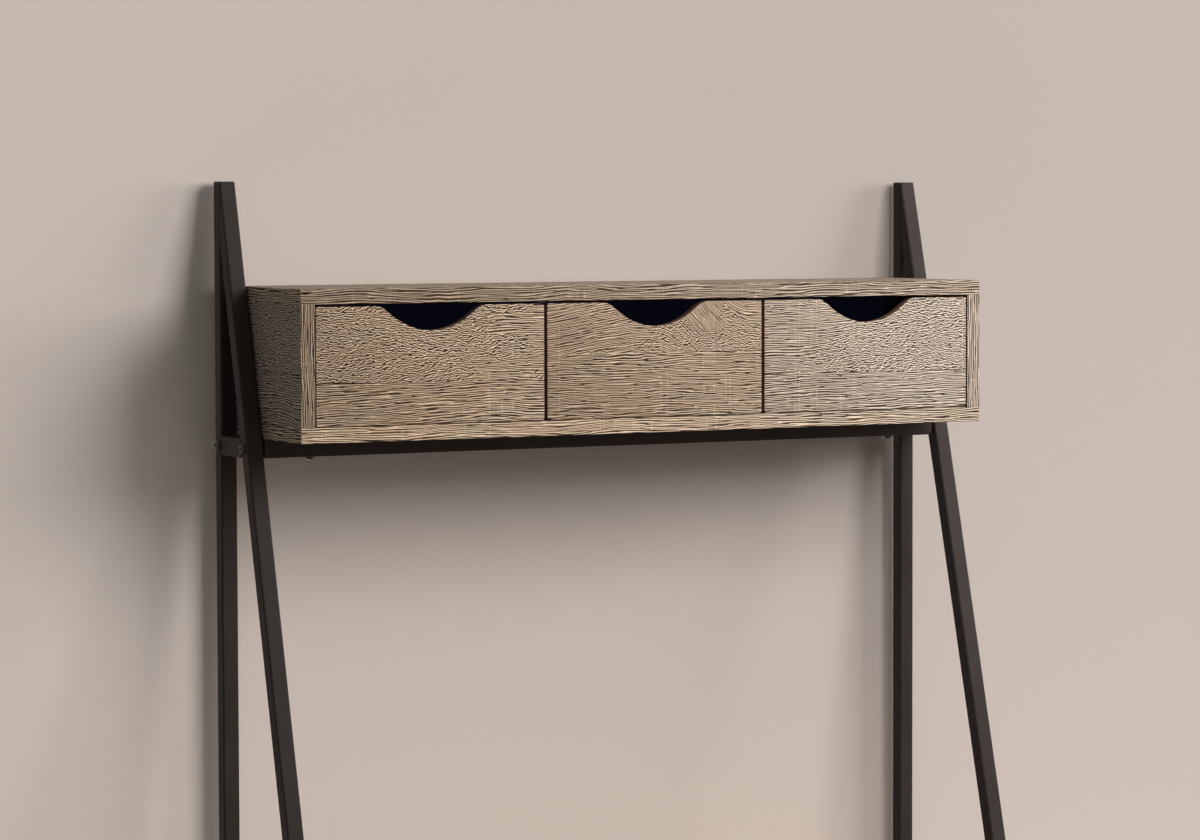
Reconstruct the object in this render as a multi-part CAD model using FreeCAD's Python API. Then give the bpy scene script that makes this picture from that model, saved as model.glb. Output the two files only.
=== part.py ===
import FreeCAD, Part
import math
import os
from FreeCAD import Placement, Rotation, Vector

# A ladder desk that stands against a wall. Two side frames of square steel tube, each a plumb
# rear post and a leaning front leg, carry a worktop and, above it, a case with three drawers.
# Millimetres. +Z is up, +X is to the user's right, and the user sits on the -Y side.
# The origin lies on the floor, at the centre of the frame's width and depth.

# ---- Steel frame ------------------------------------------------------------------------
frame_width = 970.0            # over the outer faces of the two side frames
frame_height = 1620.0          # floor to the top of the post caps
frame_depth = 450.0            # wall face of the posts to the toe of the leaning legs
tube_size = 20.0               # side of the square tube of posts and legs
rail_height = 23.0             # height of the tube of rails and crossbars
tube_wall = 1.5
bore_corner = 0.8              # corner radius inside a tube
low_rail_height = 100.0        # floor to the underside of the low rails and the stretcher

# ---- Plastic end fittings ---------------------------------------------------------------
cap_thickness = 2.0            # head of a post cap
glide_height = 6.0             # part of a floor glide that shows below its tube
plug_length = 18.0             # part of a cap, glide or insert that sits in its tube
plug_clearance = 0.2           # between such a plug and the tube's bore, each side
glide_chamfer = 1.0

# ---- Crossbar fixings -------------------------------------------------------------------
side_gap = 3.0                 # between the side frames and all that hangs between them
collar_diameter = 14.0         # collar of an insert, which bridges the side gap
bolt_diameter = 6.0
bolt_bite = 14.0               # thread that a crossbar bolt turns into its insert
bolt_head_diameter = 12.5
bolt_head_height = 4.0
bolt_socket = 4.0              # hexagon key size
hole_clearance = 0.5           # all round a shank in a plain hole
thread_clearance = 0.05        # all round a thread, dowel or cam in its seat

# ---- Boards and the fixings between them -----------------------------------------------
board_thickness = 18.0
board_arris = 0.8              # rounding of the edges that a hand meets
hidden_skin = 6.0              # board left over the blind end of a hole
panel_screw_diameter = 4.5
panel_screw_head_diameter = 11.0
panel_screw_head_height = 3.5
panel_screw_socket = 3.0
panel_screw_inset = 61.0       # crossbar's end to the nearest screw into the board above
dowel_diameter = 8.0
dowel_edge_bite = 18.0         # dowel length in the edge of a board
dowel_inset = 40.0             # edge of the board to the nearest dowel
cam_diameter = 15.0
cam_depth = 12.5
cam_distance = 24.0            # joint face to the axis of the cam
cam_bolt_diameter = 7.0

# ---- Worktop ----------------------------------------------------------------------------
worktop_height = 745.0         # floor to the top face
worktop_depth = 445.0
worktop_corner = 6.0           # plan radius of the two front corners
wall_gap = 2.0                 # wall face of the posts to the rear edges of the boards

# ---- Drawer case ------------------------------------------------------------------------
case_drop = 302.5              # top of the post caps to the underside of the case
case_height = 178.0
case_depth = 210.0
back_thickness = 3.0
back_inset = 10.0              # rear edges of the case to the back panel
groove_depth = 6.0             # groove that holds the back panel
panel_clearance = 0.2          # between a thin panel and its groove, each side
divider_thickness = 12.0
divider_dowel_diameter = 6.0

# ---- Drawers ----------------------------------------------------------------------------
drawer_names = ["left_drawer", "middle_drawer", "right_drawer"]
front_thickness = 12.0
front_inset = 1.0              # behind the front edges of the case
front_gap = 4.0                # between neighbouring fronts
front_side_gap = 1.5           # between an outer front and the case's end
front_top_gap = 3.0
front_bottom_gap = 1.0
front_corner = 3.0
stop_gap = 0.5                 # closed front to the divider that stops it
scoop_width = 144.0            # finger scoop, from shoulder to shoulder
scoop_depth = 29.0
scoop_bottom_radius = 78.0
scoop_shoulder_radius = 22.0
drawer_depth = 186.0           # face of the front to the rear of the drawer
drawer_wall = 12.0
drawer_wall_height = 100.0
drawer_side_clearance = 1.0
drawer_floor_clearance = 0.4
drawer_bottom_thickness = 3.0
drawer_bottom_lift = 8.0       # lower edge of the walls to the bottom panel
drawer_groove_depth = 5.0
drawer_skin = 3.0              # front left over the blind end of a cam bolt's hole
drawer_cam_diameter = 12.0
drawer_cam_depth = 9.5
drawer_cam_distance = 20.0
drawer_cam_bolt_diameter = 5.0
drawer_fixing_inset = 22.0     # edges of a drawer wall to its nearest fixing
drawer_screw_diameter = 3.5
drawer_screw_length = 32.0
drawer_screw_head_diameter = 7.0

# ---- Planes and spans that follow from the sizes above ---------------------------------
wall_y = frame_depth / 2
inner_width = frame_width - 2 * tube_size
hung_width = inner_width - 2 * side_gap
side_x = (frame_width - tube_size) / 2
post_y = wall_y - tube_size / 2
board_rear_y = wall_y - wall_gap
lean = math.degrees(math.atan((frame_depth - tube_size) / frame_height))
case_base_height = frame_height - case_drop
case_front_y = board_rear_y - case_depth
case_floor = case_base_height + board_thickness
case_ceiling = case_base_height + case_height - board_thickness
case_half = hung_width / 2
case_inner_half = case_half - board_thickness
back_front_y = board_rear_y - back_inset - back_thickness
front_face_y = case_front_y + front_inset
front_back_y = front_face_y + front_thickness
divider_front_y = front_back_y + stop_gap
worktop_underside = worktop_height - board_thickness
face_bite = board_thickness - hidden_skin
left, right = Vector(-1, 0, 0), Vector(1, 0, 0)
forward, rearward = Vector(0, -1, 0), Vector(0, 1, 0)
up, down = Vector(0, 0, 1), Vector(0, 0, -1)

os.makedirs("parts", exist_ok=True)


def save(name, solids):
    """Write one node: a single solid, or a group of separate solids."""
    shape = solids[0] if len(solids) == 1 else Part.makeCompound(solids)
    shape.exportStep("parts/" + name + ".step")


# ---- Shared forms -----------------------------------------------------------------------
def block(x_span, y_span, z_span):
    """Box between two corners, each span given as (low, high)."""
    corner = Vector(x_span[0], y_span[0], z_span[0])
    return Part.makeBox(x_span[1] - x_span[0], y_span[1] - y_span[0], z_span[1] - z_span[0], corner)


def placed(shape, origin, x_direction, z_direction):
    """The shape with its own X and Z axes turned to the two directions, moved to the origin."""
    turned = shape.copy()
    y_direction = z_direction.cross(x_direction)
    turned.Placement = Placement(origin, Rotation(x_direction, y_direction, z_direction, "ZXY"))
    return turned


def rod(radius, start, direction, length):
    return Part.makeCylinder(radius, length, start, direction)


def prism(width, depth, length, corner):
    """Upright bar of rounded rectangular section, standing on the XY plane about the Z axis."""
    bar = Part.makeBox(width, depth, length, Vector(-width / 2, -depth / 2, 0))
    uprights = [edge for edge in bar.Edges if abs(edge.tangentAt(edge.FirstParameter).z) > 0.9]
    return bar.makeFillet(corner, uprights)


def tube(width, depth, length):
    """Upright length of rectangular tube with rounded corners, open at both ends."""
    bore = prism(width - 2 * tube_wall, depth - 2 * tube_wall, length, bore_corner)
    return prism(width, depth, length, bore_corner + tube_wall).cut(bore)


def plug(width, depth, length):
    """The part of an end fitting that sits inside a tube of the given outer section."""
    slack = 2 * (tube_wall + plug_clearance)
    return prism(width - slack, depth - slack, length, bore_corner)


def ease(board, on_edge):
    """Round the board's edges whose middle point passes the test."""
    chosen = [edge for edge in board.Edges if on_edge(edge.CenterOfMass)]
    return board.makeFillet(board_arris, chosen)


def near(value, target):
    return abs(value - target) < 0.01


# ---- Shared fixings ---------------------------------------------------------------------
def button_screw(diameter, length, head_diameter, head_height, socket):
    """Screw with a domed head above Z = 0, a hexagon socket in it and its shank below."""
    rim = head_diameter / 2
    crown = 0.45 * rim
    dome = Part.Arc(Vector(rim, 0, 0), Vector(0.86 * rim, 0, 0.62 * head_height), Vector(crown, 0, head_height))
    outline = Part.Wire([
        dome.toShape(),
        Part.makeLine(Vector(crown, 0, head_height), Vector(0, 0, head_height)),
        Part.makeLine(Vector(0, 0, head_height), Vector(0, 0, -length)),
        Part.makeLine(Vector(0, 0, -length), Vector(diameter / 2, 0, -length)),
        Part.makeLine(Vector(diameter / 2, 0, -length), Vector(diameter / 2, 0, 0)),
        Part.makeLine(Vector(diameter / 2, 0, 0), Vector(rim, 0, 0)),
    ])
    turned = Part.Face(outline).revolve(Vector(0, 0, 0), up, 360)
    reach = socket / math.sqrt(3)
    floor = 0.4 * head_height
    corners = [Vector(reach * math.cos(turn), reach * math.sin(turn), floor)
               for turn in [math.radians(60 * step) for step in range(7)]]
    return turned.cut(Part.Face(Part.makePolygon(corners)).extrude(up * head_height))


def countersunk_screw(extra):
    """Drawer screw with its head flush at Z = 0 and its shank below, enlarged all round by extra."""
    head = drawer_screw_head_diameter / 2 + extra
    shank = drawer_screw_diameter / 2 + extra
    cone = Part.makeCone(shank, head, head - shank, Vector(0, 0, shank - head))
    return cone.fuse(rod(shank, Vector(0, 0, 0), down, drawer_screw_length)).removeSplitter()


class CamJoint:
    """Cam lock that draws the edge of one board against the face of another.

    In its own axes the joint face is Z = 0, with the face board above it and the edge board
    below it. The bolt turns into the face board, and the cam fills a pocket that opens in the
    edge board's side towards +X.
    """

    def __init__(self, edge_board, bite, diameter, depth, distance, bolt_diameter):
        mouth = edge_board / 2
        bolt = bolt_diameter / 2
        loose = thread_clearance
        pocket_start = Vector(mouth - depth, 0, -distance)
        stem = rod(0.7 * bolt, Vector(0, 0, -distance), up, distance)
        grip = rod(bolt, Vector(0, 0, -distance), up, 0.8 * bolt)
        self.bolt = rod(bolt, Vector(0, 0, 0), up, bite).fuse(stem).fuse(grip).removeSplitter()
        channel = rod(bolt + hole_clearance, Vector(0, 0, -distance - bolt), up, distance + bolt)
        self.cam = rod(diameter / 2, pocket_start, right, depth).cut(channel)
        self.pocket = rod(diameter / 2 + loose, pocket_start, right, depth).fuse(channel)
        self.pilot = rod(bolt + loose, Vector(0, 0, 0), up, bite)


# ---- Side frames ------------------------------------------------------------------------
def leg_front(z):
    """Y of the leaning leg's front face at a height."""
    return wall_y - tube_size - (frame_depth - tube_size) * (1 - z / frame_height)


def crossbar_seats():
    """Centre (Y, Z) of each crossbar, which stands between the posts or between the legs."""
    case_z = case_base_height - rail_height / 2
    worktop_z = worktop_underside - rail_height / 2
    return {
        "case_front_crossbar": (leg_front(case_base_height) + tube_size / 2, case_z),
        "case_rear_crossbar": (post_y, case_z),
        "worktop_front_crossbar": (leg_front(worktop_underside) + tube_size / 2, worktop_z),
        "worktop_rear_crossbar": (post_y, worktop_z),
        "low_stretcher": (post_y, low_rail_height + rail_height / 2),
    }


def bolt_holes(seats):
    """Holes for the crossbar bolts, long enough to pass both side frames."""
    radius = bolt_diameter / 2 + hole_clearance
    start = -frame_width / 2
    return [rod(radius, Vector(start, y, z), right, frame_width) for y, z in seats.values()]


def on_leg(shape, x):
    """The shape moved from the Z axis to the axis of the leg at x, leaning back as it does."""
    tilt = math.radians(lean)
    toe = Vector(x, -wall_y + math.cos(tilt) * tube_size / 2, -math.sin(tilt) * tube_size / 2)
    leaning = shape.copy()
    leaning.Placement = Placement(toe, Rotation(right, -lean)).multiply(shape.Placement)
    return leaning


def level_slice(shape, low, high):
    """What lies between two heights and in front of the posts."""
    reach = frame_width + frame_depth
    return shape.common(block((-reach, reach), (-reach, wall_y - tube_size), (low, high)))


def rear_post(x, holes):
    length = frame_height - cap_thickness - glide_height
    post = tube(tube_size, tube_size, length)
    post.translate(Vector(x, post_y, glide_height))
    return post.cut(holes)


def front_leg(x, holes):
    """Leaning leg, cut level at both ends and mitred along the front face of its post."""
    overlength = frame_height + frame_depth
    blank = on_leg(tube(tube_size, tube_size, overlength), x)
    return level_slice(blank, glide_height, frame_height - cap_thickness).cut(holes)


def side_rail(x, top):
    """Level rail from the post's front face to the leg's rear face, which it meets at a bevel."""
    start = wall_y - tube_size
    length = start - leg_front(top - rail_height)
    blank = placed(tube(tube_size, rail_height, length), Vector(x, start, top - rail_height / 2), right, forward)
    reach = frame_height + frame_depth
    ahead = block((-tube_size, tube_size), (-reach, tube_size / 2), (-reach, reach))
    return blank.cut(on_leg(ahead, x))


def post_cap(x):
    """Push-in cap that closes the top of a post."""
    head = prism(tube_size, tube_size, cap_thickness, bore_corner + tube_wall)
    stem = plug(tube_size, tube_size, plug_length)
    stem.translate(down * plug_length)
    cap = head.fuse(stem)
    cap.translate(Vector(x, post_y, frame_height - cap_thickness))
    return cap


def post_glide(x):
    """Push-in foot of a post, with a chamfered sole."""
    foot = prism(tube_size, tube_size, glide_height, bore_corner + tube_wall)
    sole = [edge for edge in foot.Edges if near(edge.CenterOfMass.z, 0)]
    foot = foot.makeChamfer(glide_chamfer, sole)
    stem = plug(tube_size, tube_size, plug_length)
    stem.translate(up * glide_height)
    glide = foot.fuse(stem)
    glide.translate(Vector(x, post_y, 0))
    return glide


def leg_glide(x):
    """Push-in foot of a leg, which carries its leaning outline down to a level sole."""
    bar = on_leg(prism(tube_size, tube_size, glide_height + plug_length, bore_corner + tube_wall), x)
    stem = on_leg(plug(tube_size, tube_size, glide_height + plug_length), x)
    foot = level_slice(bar, 0, glide_height)
    return foot.fuse(level_slice(stem, glide_height, glide_height + plug_length))


# ---- Crossbars --------------------------------------------------------------------------
def panel_screw_stations(with_middle):
    """X of the screws that rise through a crossbar into the board above it."""
    outer = hung_width / 2 - panel_screw_inset
    return [-outer, 0, outer] if with_middle else [-outer, outer]


def crossbar(seat, screw_stations):
    y, z = seat
    start = Vector(-hung_width / 2, y, z)
    bar = placed(tube(rail_height, tube_size, hung_width), start, down, right)
    radius = panel_screw_diameter / 2 + hole_clearance
    holes = [rod(radius, Vector(x, y, z - rail_height), up, 2 * rail_height) for x in screw_stations]
    return bar.cut(holes) if holes else bar


def crossbar_insert(seat, outward):
    """Threaded plug in the end of a crossbar, with the collar that bears on the side frame."""
    y, z = seat
    body = plug(rail_height, tube_size, plug_length)
    body.translate(down * plug_length)
    collar = rod(collar_diameter / 2, Vector(0, 0, 0), up, side_gap)
    thread = rod(bolt_diameter / 2 + thread_clearance, down * plug_length, up, plug_length + side_gap)
    insert = body.fuse(collar).cut(thread)
    return placed(insert, Vector(outward.x * hung_width / 2, y, z), down, outward)


def crossbar_bolt(seat, outward):
    y, z = seat
    length = tube_size + side_gap + bolt_bite
    bolt = button_screw(bolt_diameter, length, bolt_head_diameter, bolt_head_height, bolt_socket)
    return placed(bolt, Vector(outward.x * frame_width / 2, y, z), down, outward)


def panel_screw(x, seat):
    """Screw up through a crossbar and into the underside of a board."""
    y, z = seat
    length = rail_height + face_bite
    screw = button_screw(panel_screw_diameter, length, panel_screw_head_diameter,
                         panel_screw_head_height, panel_screw_socket)
    return placed(screw, Vector(x, y, z - rail_height / 2), right, down)


def panel_pilots(screw_stations, seats):
    """Blind holes in a board for the screws from the crossbars under it."""
    radius = panel_screw_diameter / 2 + thread_clearance
    return [rod(radius, Vector(x, y, z + rail_height / 2), up, face_bite)
            for y, z in seats for x in screw_stations]


# ---- Worktop ----------------------------------------------------------------------------
def worktop(pilots):
    """Board with two rounded front corners and eased edges."""
    front_y = board_rear_y - worktop_depth
    board = block((-hung_width / 2, hung_width / 2), (front_y, board_rear_y), (worktop_underside, worktop_height))
    corners = [edge for edge in board.Edges
               if near(edge.CenterOfMass.y, front_y) and near(abs(edge.CenterOfMass.x), hung_width / 2)]
    board = board.makeFillet(worktop_corner, corners)
    board = ease(board, lambda middle: near(middle.z, worktop_height) and middle.y < board_rear_y - 0.01)
    return board.cut(pilots)


# ---- Drawer case ------------------------------------------------------------------------
def back_groove():
    """Space that the back panel's groove takes out of the boards round it."""
    reach = groove_depth
    return block((-case_inner_half - reach, case_inner_half + reach),
                 (back_front_y - panel_clearance, back_front_y + back_thickness + panel_clearance),
                 (case_floor - reach, case_ceiling + reach))


def back_panel():
    reach = groove_depth - panel_clearance
    return block((-case_inner_half - reach, case_inner_half + reach),
                 (back_front_y, back_front_y + back_thickness),
                 (case_floor - reach, case_ceiling + reach))


def divider_centres():
    """X of the two dividers, which stand behind the gaps between the drawer fronts."""
    front_width = (2 * case_inner_half - 2 * front_side_gap - 2 * front_gap) / 3
    offset = (front_width + front_gap) / 2
    return [-offset, offset]


def end_dowel_seats():
    """Joint point and direction of each dowel between the case's ends and its top or bottom."""
    ys = [case_front_y + dowel_inset, board_rear_y - dowel_inset]
    x = case_half - board_thickness / 2
    return [(Vector(side * x, y, z), away)
            for side in (-1, 1) for y in ys for z, away in ((case_floor, down), (case_ceiling, up))]


def divider_dowel_seats():
    ys = [case_front_y + dowel_inset, board_rear_y - dowel_inset]
    return [(Vector(x, y, z), away)
            for x in divider_centres() for y in ys for z, away in ((case_floor, down), (case_ceiling, up))]


def dowel(diameter, seat):
    """Round peg from the edge of one board into the face of the other."""
    joint, away = seat
    return rod(diameter / 2, joint - away * dowel_edge_bite, away, dowel_edge_bite + face_bite)


def case_cam_seats():
    """Origin, X and Z directions of the cam joint at the middle of each case corner."""
    y = (case_front_y + board_rear_y) / 2
    x = case_half - board_thickness / 2
    return [(Vector(side * x, y, z), right * -side, away)
            for side in (-1, 1) for z, away in ((case_floor, down), (case_ceiling, up))]


def case_long_board(low, outer_z, cuts):
    """Top or bottom board of the case, eased along its front and its outer end edges."""
    board = block((-case_half, case_half), (case_front_y, board_rear_y), (low, low + board_thickness))
    eased = ease(board, lambda middle: near(middle.y, case_front_y)
                 or (near(middle.z, outer_z) and near(abs(middle.x), case_half)))
    return eased.cut(cuts)


def case_end(side, cuts):
    outer, inner = side * case_half, side * case_inner_half
    board = block(sorted((outer, inner)), (case_front_y, board_rear_y), (case_floor, case_ceiling))
    eased = ease(board, lambda middle: near(middle.y, case_front_y) and near(middle.z, (case_floor + case_ceiling) / 2))
    return eased.cut(cuts)


def divider(x, cuts):
    half = divider_thickness / 2
    return block((x - half, x + half), (divider_front_y, back_front_y), (case_floor, case_ceiling)).cut(cuts)


# ---- Drawers ----------------------------------------------------------------------------
def front_spans():
    """X span of each drawer front."""
    step = divider_centres()[1] * 2
    half = (step - front_gap) / 2
    return [(step * place - half, step * place + half) for place in (-1, 0, 1)]


def bay_spans():
    """X span of the bay behind each front, between the dividers and the case's ends."""
    half = divider_thickness / 2
    first, second = divider_centres()
    return [(-case_inner_half, first - half), (first + half, second - half), (second + half, case_inner_half)]


def scoop_outline(centre, top):
    """Points and arcs of the finger scoop, from its left shoulder to its right one.

    A wide bottom arc and two shoulder arcs of the opposite curve are joined by straight flanks
    that are tangent to both. The flank's slope follows from the distance between the arcs'
    centres, as for a crossed belt over two pulleys.
    """
    half = scoop_width / 2
    radii = scoop_bottom_radius + scoop_shoulder_radius
    rise = radii - scoop_depth
    flank = math.sqrt(half ** 2 + rise ** 2 - radii ** 2)
    slope = math.atan2(half, rise) - math.atan2(flank, radii)

    def point(side, across, below):
        return Vector(centre + side * across, 0, top - below)

    def on_shoulder(side, turn):
        return point(side, half - scoop_shoulder_radius * math.sin(turn),
                     scoop_shoulder_radius * (1 - math.cos(turn)))

    def on_bottom(side, turn):
        return point(side, scoop_bottom_radius * math.sin(turn),
                     scoop_depth - scoop_bottom_radius * (1 - math.cos(turn)))

    return [
        Part.Arc(on_shoulder(-1, 0), on_shoulder(-1, slope / 2), on_shoulder(-1, slope)).toShape(),
        Part.makeLine(on_shoulder(-1, slope), on_bottom(-1, slope)),
        Part.Arc(on_bottom(-1, slope), on_bottom(1, 0), on_bottom(1, slope)).toShape(),
        Part.makeLine(on_bottom(1, slope), on_shoulder(1, slope)),
        Part.Arc(on_shoulder(1, slope), on_shoulder(1, slope / 2), on_shoulder(1, 0)).toShape(),
    ]


def drawer_front(span, cuts):
    """Front with four small corner radii and the finger scoop in its top edge."""
    low = case_floor + front_bottom_gap
    top = case_ceiling - front_top_gap
    x0, x1 = span
    centre = (x0 + x1) / 2
    notch = Vector(scoop_width / 2, 0, 0)
    middle_top = Vector(centre, 0, top)
    outline = Part.Wire(scoop_outline(centre, top) + [
        Part.makeLine(middle_top + notch, Vector(x1, 0, top)),
        Part.makeLine(Vector(x1, 0, top), Vector(x1, 0, low)),
        Part.makeLine(Vector(x1, 0, low), Vector(x0, 0, low)),
        Part.makeLine(Vector(x0, 0, low), Vector(x0, 0, top)),
        Part.makeLine(Vector(x0, 0, top), middle_top - notch),
    ])
    front = Part.Face(outline).extrude(rearward * front_thickness)
    front.translate(rearward * front_face_y)
    corners = [edge for edge in front.Edges
               if near(edge.Length, front_thickness)
               and (near(edge.CenterOfMass.x, x0) or near(edge.CenterOfMass.x, x1))]
    return front.makeFillet(front_corner, corners).cut(cuts)


def save_drawer(name, bay, front_span):
    """All the pieces of one drawer, which slides between the sides of its bay."""
    x0, x1 = bay[0] + drawer_side_clearance, bay[1] - drawer_side_clearance
    inner0, inner1 = x0 + drawer_wall, x1 - drawer_wall
    low = case_floor + drawer_floor_clearance
    high = low + drawer_wall_height
    rear = front_face_y + drawer_depth
    bottom_low = low + drawer_bottom_lift
    bottom_high = bottom_low + drawer_bottom_thickness

    reach = drawer_groove_depth - panel_clearance
    bottom = block((inner0 - reach, inner1 + reach), (front_back_y - reach, rear), (bottom_low, bottom_high))
    groove = block((inner0 - drawer_groove_depth, inner1 + drawer_groove_depth),
                   (front_back_y - drawer_groove_depth, rear),
                   (bottom_low - panel_clearance, bottom_high + panel_clearance))

    joint = CamJoint(drawer_wall, front_thickness - drawer_skin, drawer_cam_diameter,
                     drawer_cam_depth, drawer_cam_distance, drawer_cam_bolt_diameter)
    heights = [bottom_high + drawer_fixing_inset, high - drawer_fixing_inset]
    seats = [(Vector(x, front_back_y, z), inward, forward)
             for x, inward in ((x0 + drawer_wall / 2, right), (x1 - drawer_wall / 2, left))
             for z in heights]
    pockets = [placed(joint.pocket, *seat) for seat in seats]
    pilots = [placed(joint.pilot, *seat) for seat in seats]

    screw_y = rear - drawer_wall / 2
    screw_seats = [(Vector(x, screw_y, z), up, outward)
                   for x, outward in ((x0, left), (x1, right)) for z in heights]
    screw_holes = [placed(countersunk_screw(thread_clearance), *seat) for seat in screw_seats]

    wall_cuts = [groove] + pockets + screw_holes
    walls = (front_back_y, rear)
    back = block((inner0, inner1), (rear - drawer_wall, rear), (bottom_high, high))
    save(name + "_front", [drawer_front(front_span, [groove] + pilots)])
    save(name + "_left_wall", [block((x0, inner0), walls, (low, high)).cut(wall_cuts)])
    save(name + "_right_wall", [block((inner1, x1), walls, (low, high)).cut(wall_cuts)])
    save(name + "_back", [back.cut(screw_holes)])
    save(name + "_bottom", [bottom])
    save(name + "_cams", [placed(joint.cam, *seat) for seat in seats])
    save(name + "_cam_bolts", [placed(joint.bolt, *seat) for seat in seats])
    save(name + "_screws", [placed(countersunk_screw(0), *seat) for seat in screw_seats])


# ---- The steel frame's nodes ------------------------------------------------------------
seats = crossbar_seats()
holes = bolt_holes(seats)
for side, x in (("left", -side_x), ("right", side_x)):
    save(side + "_rear_post", [rear_post(x, holes)])
    save(side + "_front_leg", [front_leg(x, holes)])
    save(side + "_case_rail", [side_rail(x, case_base_height)])
    save(side + "_worktop_rail", [side_rail(x, worktop_underside)])
    save(side + "_low_rail", [side_rail(x, low_rail_height + rail_height)])

save("post_caps", [post_cap(-side_x), post_cap(side_x)])
save("post_glides", [post_glide(-side_x), post_glide(side_x)])
save("leg_glides", [leg_glide(-side_x), leg_glide(side_x)])

case_stations = panel_screw_stations(False)
worktop_stations = panel_screw_stations(True)
for name, seat in seats.items():
    stations = case_stations if name.startswith("case") else worktop_stations
    save(name, [crossbar(seat, [] if name == "low_stretcher" else stations)])
save("crossbar_inserts", [crossbar_insert(seat, way) for seat in seats.values() for way in (left, right)])
save("crossbar_bolts", [crossbar_bolt(seat, way) for seat in seats.values() for way in (left, right)])

# ---- The worktop's nodes ----------------------------------------------------------------
worktop_seats = [seats["worktop_front_crossbar"], seats["worktop_rear_crossbar"]]
save("worktop", [worktop(panel_pilots(worktop_stations, worktop_seats))])
save("worktop_screws", [panel_screw(x, seat) for seat in worktop_seats for x in worktop_stations])

# ---- The drawer case's nodes ------------------------------------------------------------
case_seats = [seats["case_front_crossbar"], seats["case_rear_crossbar"]]
case_joint = CamJoint(board_thickness, face_bite, cam_diameter, cam_depth, cam_distance, cam_bolt_diameter)
cam_seats = case_cam_seats()
groove = back_groove()
end_holes = [dowel(dowel_diameter + 2 * thread_clearance, seat) for seat in end_dowel_seats()]
divider_holes = [dowel(divider_dowel_diameter + 2 * thread_clearance, seat) for seat in divider_dowel_seats()]
cam_pilots = [placed(case_joint.pilot, *seat) for seat in cam_seats]
cam_pockets = [placed(case_joint.pocket, *seat) for seat in cam_seats]
long_board_cuts = [groove] + end_holes + divider_holes + cam_pilots
bottom_cuts = long_board_cuts + panel_pilots(case_stations, case_seats)
save("case_bottom", [case_long_board(case_base_height, case_base_height, bottom_cuts)])
save("case_top", [case_long_board(case_ceiling, case_ceiling + board_thickness, long_board_cuts)])
save("case_left_end", [case_end(-1, [groove] + end_holes + cam_pockets)])
save("case_right_end", [case_end(1, [groove] + end_holes + cam_pockets)])
save("case_back", [back_panel()])
for side, x in zip(("left", "right"), divider_centres()):
    save("case_" + side + "_divider", [divider(x, divider_holes)])
save("case_dowels", [dowel(dowel_diameter, seat) for seat in end_dowel_seats()])
save("divider_dowels", [dowel(divider_dowel_diameter, seat) for seat in divider_dowel_seats()])
save("case_cams", [placed(case_joint.cam, *seat) for seat in cam_seats])
save("case_cam_bolts", [placed(case_joint.bolt, *seat) for seat in cam_seats])
save("case_screws", [panel_screw(x, seat) for seat in case_seats for x in case_stations])

# ---- The drawers' nodes -----------------------------------------------------------------
for name, bay, front_span in zip(drawer_names, bay_spans(), front_spans()):
    save_drawer(name, bay, front_span)
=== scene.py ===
import math

import bpy
import numpy as np
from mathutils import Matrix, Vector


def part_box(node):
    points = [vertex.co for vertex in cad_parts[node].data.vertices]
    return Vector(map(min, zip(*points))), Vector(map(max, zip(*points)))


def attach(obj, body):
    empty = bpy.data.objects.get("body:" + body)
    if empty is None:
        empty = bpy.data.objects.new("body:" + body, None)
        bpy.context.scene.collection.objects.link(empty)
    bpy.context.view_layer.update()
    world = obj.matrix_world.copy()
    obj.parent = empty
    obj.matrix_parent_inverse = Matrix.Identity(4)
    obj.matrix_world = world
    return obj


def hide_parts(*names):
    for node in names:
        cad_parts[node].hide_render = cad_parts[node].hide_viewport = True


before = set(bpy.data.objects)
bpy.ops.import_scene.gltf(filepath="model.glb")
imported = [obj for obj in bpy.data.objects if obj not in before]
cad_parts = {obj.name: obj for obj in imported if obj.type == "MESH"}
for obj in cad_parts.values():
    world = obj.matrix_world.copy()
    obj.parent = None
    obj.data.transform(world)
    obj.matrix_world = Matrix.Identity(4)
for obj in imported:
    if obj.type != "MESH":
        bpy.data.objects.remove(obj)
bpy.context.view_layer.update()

# The rear posts: square steel tube, plumb, one at each side of the desk. They are cut square
# at both ends, powder-coated a warm black, and closed by push-in plastic ends. Sizes of
# pieces are in millimetres, and those of the room in metres.
tube_size = 20.0
tube_wall = 1.5
tube_corner = 2.3
sharp_angle = 35


def span(node):
    """Lowest and highest corner of a part of the frame, in millimetres."""
    return [np.array(corner) * 1000 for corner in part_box(node)]


def rounded_outline(width, depth, radii, steps=6, hold=0.4):
    """Rounded rectangle about the origin, anticlockwise, as points and outward directions.

    Each corner is its centre plus radius times (cos t, sin t) over a quarter turn. One more
    point a little way along the straight at each end of the quarter keeps the flats flat.
    """
    signs = np.array([(1, 1), (-1, 1), (-1, -1), (1, -1)], float)
    radius = np.broadcast_to(radii, 4).astype(float)[:, None]
    centres = signs * (np.array([width, depth]) / 2 - radius)
    turn = np.arange(4)[:, None] * np.pi / 2 + np.linspace(0, np.pi / 2, steps + 1)
    outward = np.stack([np.cos(turn), np.sin(turn)], -1)
    arcs = centres[:, None] + radius[:, None] * outward
    along = np.stack([-outward[..., 1], outward[..., 0]], -1)
    before, after = arcs[:, :1] - hold * along[:, :1], arcs[:, -1:] + hold * along[:, -1:]
    points = np.concatenate([before, arcs, after], 1)
    outward = np.concatenate([outward[:, :1], outward, outward[:, -1:]], 1)
    return points.reshape(-1, 2), outward.reshape(-1, 2)


def band_faces(rings, around, closed=False):
    """Four-sided faces between neighbouring rings of a grid, and from last to first if closed."""
    first = np.arange(rings if closed else rings - 1)[:, None] * around
    second = (first + around) % (rings * around)
    here = np.arange(around)
    there = (here + 1) % around
    return np.stack([first + here, first + there, second + there, second + here], -1).reshape(-1, 4)


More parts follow.
